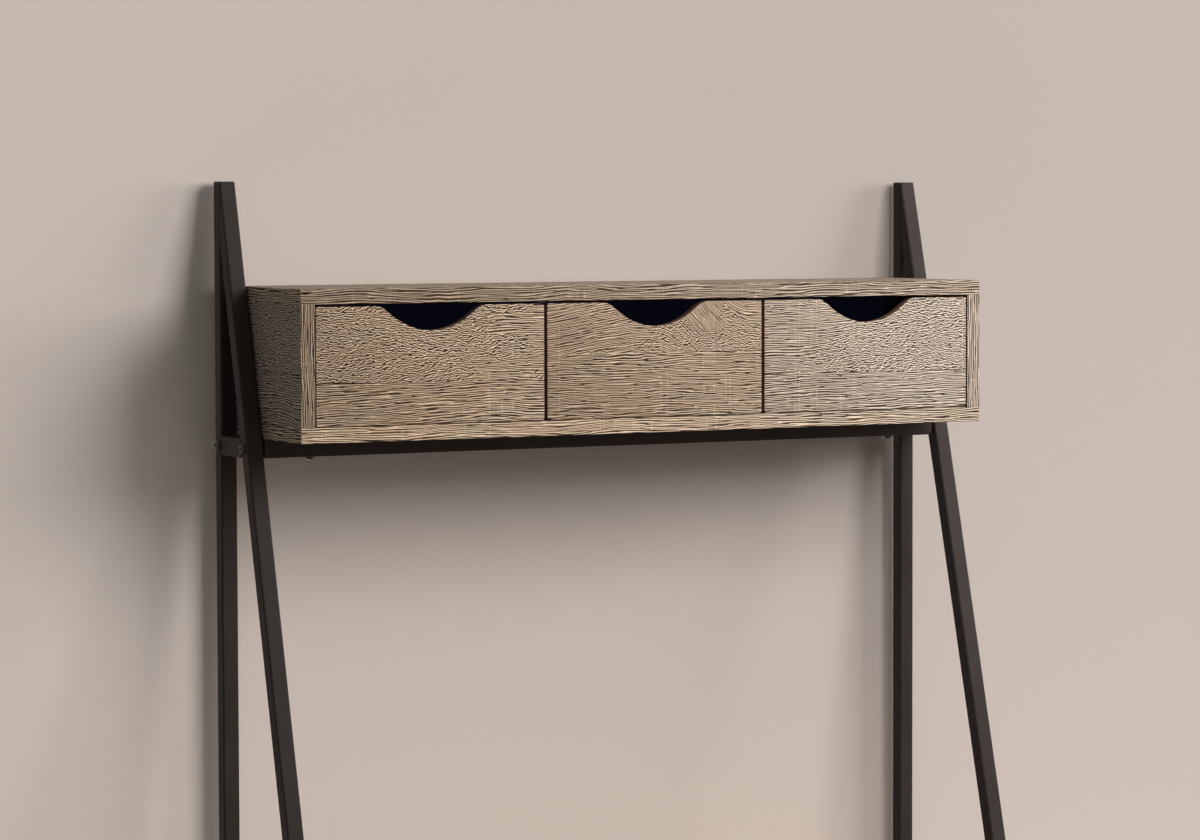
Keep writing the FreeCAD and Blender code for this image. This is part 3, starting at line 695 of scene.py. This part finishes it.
# The case's ends stand between the bottom and the top, dowelled and drawn tight by cams. Their
# faces have the grain level, and the band on the front edge has it upright.
for side, shift, tone, shade in (("left", 0.0, 0.2, 0.69), ("right", 410.0, 0.8, 0.87)):
    # Shade 0.82 darkens both ends' faces: painted shade, set for the left end, which lies on the desk's
    # shaded side.
    face = oak_laminate("oak_laminate_" + side + "_end", 1, 2, (300.0 + shift, -1335.0), curl=(0.8, 0.8),
                        joint=62.0, tone=(0.75, 0.75), shade=(0.82, 0.82), contrast=1.15)
    end_band = oak_band("oak_band_" + side + "_end", 2, 0, (shift - 700.0, 3.0), tone=(tone, tone),
                        shade=(shade, shade))
    low, high = span("case_" + side + "_end")
    middle = (low + high) / 2
    outline = rounded_outline(high[0] - low[0], high[1] - low[1], board_arris)
    rings = eased_rings(outline, low[2], high[2], butt_arris, butt_arris)
    piece = make_piece(side + "_end_board", *stacked([rings + np.array([middle[0], middle[1], 0])]),
                       [face, end_band], "desk", "oak_board", ["case_" + side + "_end"])
    dress_faces(piece, (1, 0, 0.7))

# The worktop: the same board, with its front corners rounded in plan and the band run round
# them, screwed down through the crossbars below it.
worktop_front_corner = 6.0
worktop_rear_corner = 0.4
worktop_face = oak_laminate("oak_laminate_worktop", 0, 1, (1500.0, 225.0), curl=(0.4, 0.2), joint=150.0)
worktop_band = oak_band("oak_band_worktop", 0, 2, (1300.0, -700.0))
worktop_end = oak_band("oak_band_worktop_end", 1, 2, (1300.0, -700.0))
low, high = span("worktop")
middle = (low + high) / 2
corners = [worktop_rear_corner] * 2 + [worktop_front_corner] * 2
outline = rounded_outline(high[0] - low[0], high[1] - low[1], corners)
rings = eased_rings(outline, low[2], high[2], rear_arris, board_arris)
piece = make_piece("worktop_board", *stacked([rings + np.array([0, middle[1], 0])]),
                   [worktop_face, worktop_band, worktop_end], "desk", "oak_board", ["worktop"])
dress_faces(piece, (1, 0, 0.5), (0, 0, 0.7))

# The drawer fronts: 12 mm board with the same oak face, a finger scoop of tangent arcs in the
# top edge, and every edge sealed in a dull red-brown paint.
scoop_width = 144.0
scoop_depth = 29.0
scoop_bottom_radius = 78.0
scoop_shoulder_radius = 22.0
front_corner = 3.0
bottom_points = 41
corner_points = 13


def front_outline(width, height, hold=0.3):
    """Outline of a drawer front about its top centre, as points and outward directions.

    Seven arcs, anticlockwise, each centre + radius (cos t, sin t): two top corners, two
    shoulders and the scoop's bottom between them, and two lower corners. The bottom arc runs
    the other way round, so its outward direction is turned about. The flanks' slope is
    atan(half / rise) - atan(flank / radii), as for a crossed belt over two pulleys. One more
    point a little way on from each end of an arc keeps the straights straight.
    """
    half = scoop_width / 2
    radii = scoop_bottom_radius + scoop_shoulder_radius
    rise = radii - scoop_depth
    flank = math.sqrt(half ** 2 + rise ** 2 - radii ** 2)
    slope = math.degrees(math.atan2(half, rise) - math.atan2(flank, radii))
    side, foot = width / 2 - front_corner, height - front_corner
    arcs = [((side, -front_corner), front_corner, 0, 90, 1),
            ((half, -scoop_shoulder_radius), scoop_shoulder_radius, 90, 90 + slope, 1),
            ((0, scoop_bottom_radius - scoop_depth), scoop_bottom_radius, slope - 90, -90 - slope, -1),
            ((-half, -scoop_shoulder_radius), scoop_shoulder_radius, 90 - slope, 90, 1),
            ((-side, -front_corner), front_corner, 90, 180, 1), ((-side, -foot), front_corner, 180, 270, 1),
            ((side, -foot), front_corner, 270, 360, 1)]
    points, outward = [], []
    for centre, radius, start, end, way in arcs:
        turn = np.radians(np.linspace(start, end, bottom_points if way < 0 else corner_points))
        direction = np.stack([np.cos(turn), np.sin(turn)], 1)
        along = np.stack([-direction[:, 1], direction[:, 0]], 1) * way
        arc = np.array(centre) + radius * direction
        points.append(np.concatenate([arc[:1] - hold * along[:1], arc, arc[-1:] + hold * along[-1:]]))
        outward.append(way * np.concatenate([direction[:1], direction, direction[-1:]]))
    return np.concatenate(points), np.concatenate(outward)


def sealed_edge_material():
    """Sanded particle-board edge under a dull red-brown seal: chips show through as darker flecks."""
    material, tree, shader = new_material("sealed_scoop_edge")
    place = add(tree, "TexCoord").outputs["Object"]
    chips = noise(tree, place, 420.0, 3.0, 0.6)
    share = ease_between(tree, chips, 0.35, 0.65)
    feed(tree, shader, {
        "Base Color": blend_colour(tree, share, (0.13, 0.062, 0.042, 1), (0.24, 0.13, 0.09, 1)),
        "Roughness": 0.6, "Normal": bump(tree, chips, 0.4, 0.0003)})
    return material


scoop_edge = sealed_edge_material()
front_looks = {
    "left_drawer": dict(offset=(0.0, -1336.5), curl=(1.0, 0.3), over=(-290.0, -170.0), tone=(0.2, 0.3),
                        shade=(0.93, 0.93), joint=49.0),
    "middle_drawer": dict(offset=(1000.0, -1336.5), curl=(0.2, 0.3), over=(-100.0, 100.0),
                          tone=(0.25, 0.35), shade=(0.85, 0.85), joint=77.0, joint_line=0.0,
                          rise=18.0, fall=85.0, arch_x=1000.0),
    "right_drawer": dict(offset=(2000.0, -1336.5), curl=(0.2, 1.0), over=(200.0, 340.0), tone=(0.7, 0.9),
                         shade=(0.91, 0.91), joint=47.0, rise=14.0, arch_x=2340.0),
}
for drawer, look in front_looks.items():
    face = oak_laminate("oak_laminate_" + drawer, 0, 2, **look)
    low, high = span(drawer + "_front")
    outline = front_outline(high[0] - low[0], high[2] - low[2])
    rings = eased_rings(outline, low[1], high[1], board_arris, rear_arris)[..., [0, 2, 1]]
    rings += np.array([(low[0] + high[0]) / 2, 0, high[2]])
    piece = make_piece(drawer + "_front_board", *stacked([rings]), [face, scoop_edge], drawer,
                       "oak_board", [drawer + "_front"])
    around = rings.shape[1]
    marks = np.zeros(len(piece.data.polygons), np.int32)
    marks[ease_steps * around:(rings.shape[0] - 1) * around] = 1
    piece.data.polygons.foreach_set("material_index", marks)

# The drawers' walls, backs and bottoms, and the case's dividers: thin board with a black foil
# face, grooved and cammed together. They show through the scoops and when a drawer is open.


def foil_material():
    """Black foil on board: a faint pressed grain along the board, and lighter rub marks.

    A faint blue glow is painted light: it keeps the foil a dark navy where it lies in deep shade, as seen
    through the scoops.
    """
    material, tree, shader = new_material("black_foil_board")
    place = add(tree, "TexCoord").outputs["Object"]
    drawn = add(tree, "VectorMath", {0: place, 1: (60.0, 60.0, 700.0)}, operation="MULTIPLY")
    grain = noise(tree, drawn.outputs[0], 1.0, 3.0, 0.6)
    rubs = ease_between(tree, noise(tree, place, 26.0, 4.0, 0.65), 0.5, 0.72)
    shade = blend_colour(tree, grain, (0.014, 0.015, 0.025, 1), (0.019, 0.021, 0.033, 1))
    rubbed = blend_colour(tree, calc(tree, "MULTIPLY", rubs, 0.3), shade, (0.030, 0.034, 0.055, 1))
    # The emission is painted light: a faint blue glow on the foil, which is no lamp.
    feed(tree, shader, {
        "Base Color": rubbed, "Roughness": ease_between(tree, grain, 0.3, 0.7, 0.42, 0.55),
        "Emission Color": (0.0016, 0.0018, 0.0042, 1), "Emission Strength": 1.0,
        "Specular IOR Level": 0.25, "Normal": bump(tree, grain, 0.3, 0.0002)})
    return material


def finish_nodes(finishes):
    """Puts a material on every part of the frame that stays in view and whose name ends so."""
    for name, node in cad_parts.items():
        for ending, finish in finishes.items():
            if name.endswith(ending) and not node.hide_render:
                node.material_slots[0].material = finish


black_foil = foil_material()
finish_nodes(dict.fromkeys(("_wall", "_bottom", "_drawer_back", "_divider"), black_foil))

# The case's back: hardboard slid into a groove round the boards, bare behind and with the
# black foil on the face inside.
panel_arris = 0.2


def hardboard_material():
    """Hardboard back: brown pressed fibre, mottled, with a smooth face."""
    material, tree, shader = new_material("brown_hardboard")
    place = add(tree, "TexCoord").outputs["Object"]
    fibres = noise(tree, place, 240.0, 6.0, 0.7)
    share = ease_between(tree, fibres, 0.3, 0.7)
    feed(tree, shader, {
        "Base Color": blend_colour(tree, share, (0.13, 0.075, 0.042, 1), (0.24, 0.15, 0.09, 1)),
        "Roughness": ease_between(tree, fibres, 0.3, 0.7, 0.55, 0.72),
        "Normal": bump(tree, fibres, 0.3, 0.0002)})
    return material


hardboard = hardboard_material()
low, high = span("case_back")
middle = (low + high) / 2
outline = rounded_outline(high[0] - low[0], high[1] - low[1], panel_arris)
rings = eased_rings(outline, low[2], high[2], panel_arris, panel_arris)
piece = make_piece("case_back_panel", *stacked([rings + np.array([middle[0], middle[1], 0])]),
                   [hardboard, black_foil], "desk", "hardboard", ["case_back"])
dress_faces(piece, (1, -1, 0.7))

# The fittings inside the boards: die-cast cams and their bolts, zinc-plated screws and beech
# dowels. Most are hidden, and the cams' faces show inside the case and the drawers.


def zinc_material():
    """Zinc of the cams, their bolts and the screws: grey, with a satin tumbled finish."""
    material, tree, shader = new_material("zinc_plated_steel")
    place = add(tree, "TexCoord").outputs["Object"]
    patch = noise(tree, place, 500.0, 3.0)
    feed(tree, shader, {
        "Base Color": blend_colour(tree, patch, (0.42, 0.42, 0.43, 1), (0.60, 0.60, 0.60, 1)),
        "Roughness": ease_between(tree, patch, 0.3, 0.7, 0.3, 0.45), "Metallic": 1.0})
    return material


def beech_material():
    """Beech dowels: pale wood with short darker flecks along the peg."""
    material, tree, shader = new_material("beech_dowel_wood")
    place = add(tree, "TexCoord").outputs["Object"]
    drawn = add(tree, "VectorMath", {0: place, 1: (1600.0, 1600.0, 160.0)}, operation="MULTIPLY")
    flecks = ease_between(tree, noise(tree, drawn.outputs[0], 1.0, 2.0), 0.4, 0.7)
    shade = blend_colour(tree, flecks, (0.55, 0.36, 0.2, 1), (0.38, 0.22, 0.12, 1))
    feed(tree, shader, {"Base Color": shade, "Roughness": 0.6})
    return material


zinc = zinc_material()
beech = beech_material()
finish_nodes({"dowels": beech, "_cams": zinc, "_cam_bolts": zinc, "_screws": zinc})

# The room: a pale floor and a beige wall that the posts almost touch, lit by a large soft lamp
# at the right, a second further round, two weak ones in front and behind, and a soft sky.
# Floor and wall are seen from their front only, and fade away around the desk.
wall_lamps = {  # each with its place, its target, its width and its power in watts
    "key_softbox": ((0.70, -1.22, 2.10), (0.0, 0.1, 1.35), 0.9, 25.5),
    "side_softbox": ((2.4, -0.7, 1.9), (-0.4, 0.2, 1.2), 0.9, 32.0),
}
fill_lamps = {
    "front_fill": ((1.2, -4.5, 0.9), (0, 0, 0.6), 2.5, 14),
    "rear_fill": ((0.9, 3.4, 0.7), (0, 0, 0.8), 1.4, 60),
}
sky_zenith = 0.40
sky_horizon = 0.08
floor_tone = (0.66, 0.585, 0.535, 1)
floor_fade = (0.9, 2.6)
floor_z = -0.0004
wall_tone = (0.578, 0.497, 0.445, 1)
wall_fade = (1.6, 3.4)
wall_y = 0.234
wall_ambient = 0.24
wall_palest = 1.6


def room_paint(name, colour, centre, fade):
    """Matt emulsion, see-through from behind, and fading out between two distances from a centre."""
    material, tree, shader = new_material(name)
    place = add(tree, "TexCoord").outputs["Object"]
    cloud = noise(tree, place, 1.5, 3.0)
    shade = blend_colour(tree, cloud, colour, tuple(0.985 * part for part in colour[:3]) + (1,))
    feed(tree, shader, {"Base Color": shade, "Roughness": 0.95, "Specular IOR Level": 0.0})
    away = add(tree, "VectorMath", {0: place, 1: centre}, operation="DISTANCE").outputs["Value"]
    behind = add(tree, "NewGeometry").outputs["Backfacing"]
    clear = calc(tree, "MAXIMUM", ease_between(tree, away, *fade), behind)
    nothing = add(tree, "BsdfTransparent").outputs[0]
    mixed = add(tree, "MixShader", {0: clear, 1: shader.outputs[0], 2: nothing})
    tree.links.new(mixed.outputs[0], tree.nodes["Material Output"].inputs["Surface"])
    return material, tree, shader, place, shade


def wall_paint():
    """The wall's paint, deeper near the lamps, so that it looks even.

    Light on the wall is the sky's plus each lamp's power over pi squared, times the cosines at
    the wall and at the lamp over the distance squared plus the lamp's own half size squared.
    The paint is divided by it.
    """
    material, tree, shader, place, shade = room_paint("wall_paint", wall_tone, (0, wall_y, 1), wall_fade)
    light = wall_ambient
    for lamp, target, size, power in wall_lamps.values():
        aim = np.array(target) - lamp
        aim = tuple(aim / np.linalg.norm(aim))
        ray = add(tree, "VectorMath", {0: place, 1: lamp}, operation="SUBTRACT").outputs[0]
        length = add(tree, "VectorMath", {0: ray}, operation="LENGTH").outputs["Value"]
        facing = add(tree, "VectorMath", {0: ray, 1: aim}, operation="DOT_PRODUCT").outputs["Value"]
        squared = calc(tree, "MULTIPLY", length, length)
        spread = calc(tree, "MULTIPLY", squared, calc(tree, "ADD", squared, size ** 2 / 4))
        share = calc(tree, "DIVIDE", calc(tree, "MAXIMUM", facing, 0.0), spread)
        strength = power / math.pi ** 2 * (wall_y - lamp[1])
        light = calc(tree, "ADD", calc(tree, "MULTIPLY", share, strength), light)
    paler = calc(tree, "MINIMUM", calc(tree, "DIVIDE", 1.0, light), wall_palest)
    even = add(tree, "VectorMath", {0: shade, "Scale": paler}, operation="SCALE").outputs[0]
    tree.links.new(even, shader.inputs["Base Color"])
    return material


def flat_sheet(name, corners, material):
    """Flat four-cornered sheet of the room, in metres."""
    mesh = bpy.data.meshes.new(name)
    mesh.from_pydata(corners, [], [[0, 1, 2, 3]])
    sheet = bpy.data.objects.new(name, mesh)
    bpy.context.scene.collection.objects.link(sheet)
    mesh.materials.append(material)
    return sheet


reach = 14.0
floor_corners = [(-reach, -reach), (reach, -reach), (reach, reach), (-reach, reach)]
wall_corners = [(-reach, 0), (reach, 0), (reach, reach), (-reach, reach)]
flat_sheet("floor", [(x, y, floor_z) for x, y in floor_corners],
           room_paint("floor_paint", floor_tone, (0, 0, 0), floor_fade)[0])
wall = flat_sheet("wall", [(x, wall_y, z) for x, z in wall_corners], wall_paint())
# The wall only catches shadows: it gives the desk no light, and shades nothing itself.
wall.visible_diffuse = False
wall.visible_glossy = False
wall.visible_shadow = False

# The sky lights the desk from above, while the eye and mirrors see the wall's plain tone.
sky = bpy.data.worlds.new("room_light")
bpy.context.scene.world = sky
sky.use_nodes = True
tree = sky.node_tree
rays = add(tree, "LightPath").outputs
seen = calc(tree, "MAXIMUM", rays["Is Camera Ray"], rays["Is Glossy Ray"])
seen = calc(tree, "MAXIMUM", seen, rays["Is Transmission Ray"])
height = add(tree, "SeparateXYZ", {0: add(tree, "TexCoord").outputs["Generated"]}).outputs[2]
glow = add(tree, "MapRange", {"Value": height, "To Min": sky_horizon, "To Max": sky_zenith}).outputs[0]
ambient = add(tree, "Background", {"Color": (0.94, 1.0, 1.0, 1), "Strength": glow}).outputs[0]
pale = add(tree, "Background", {"Color": wall_tone, "Strength": 1.0}).outputs[0]
mixed = add(tree, "MixShader", {0: seen, 1: ambient, 2: pale}).outputs[0]
tree.links.new(mixed, tree.nodes["World Output"].inputs["Surface"])


def soft_lamp(name, place, target, size, power):
    """Square softbox at a place, facing a target."""
    lamp = bpy.data.lights.new(name, "AREA")
    lamp.shape = "SQUARE"
    lamp.size = size
    lamp.energy = power
    holder = bpy.data.objects.new(name, lamp)
    bpy.context.scene.collection.objects.link(holder)
    holder.location = place
    holder.visible_camera = False
    aim = np.array(target, float) - np.array(place, float)
    tilt = math.acos(-aim[2] / np.linalg.norm(aim))
    holder.rotation_euler = (tilt, 0, math.atan2(aim[0], -aim[1]) + math.pi)


for name, settings in {**wall_lamps, **fill_lamps}.items():
    soft_lamp(name, *settings)

# The camera stands at the left, a little above the case, and looks slightly down to the right
# through a long lens.
lens = bpy.data.cameras.new("camera")
lens.sensor_width = 36.0
lens.lens = 108.139
lens.shift_y = -0.025
lens.clip_end = 100.0
camera = bpy.data.objects.new("camera", lens)
bpy.context.scene.collection.objects.link(camera)
camera.location = (-2.04421, -3.80872, 1.58239)
camera.rotation_euler = [math.radians(turn) for turn in (87.175, 0.1688, -27.2483)]
bpy.context.scene.camera = camera
bpy.context.scene.view_settings.view_transform = "Standard"
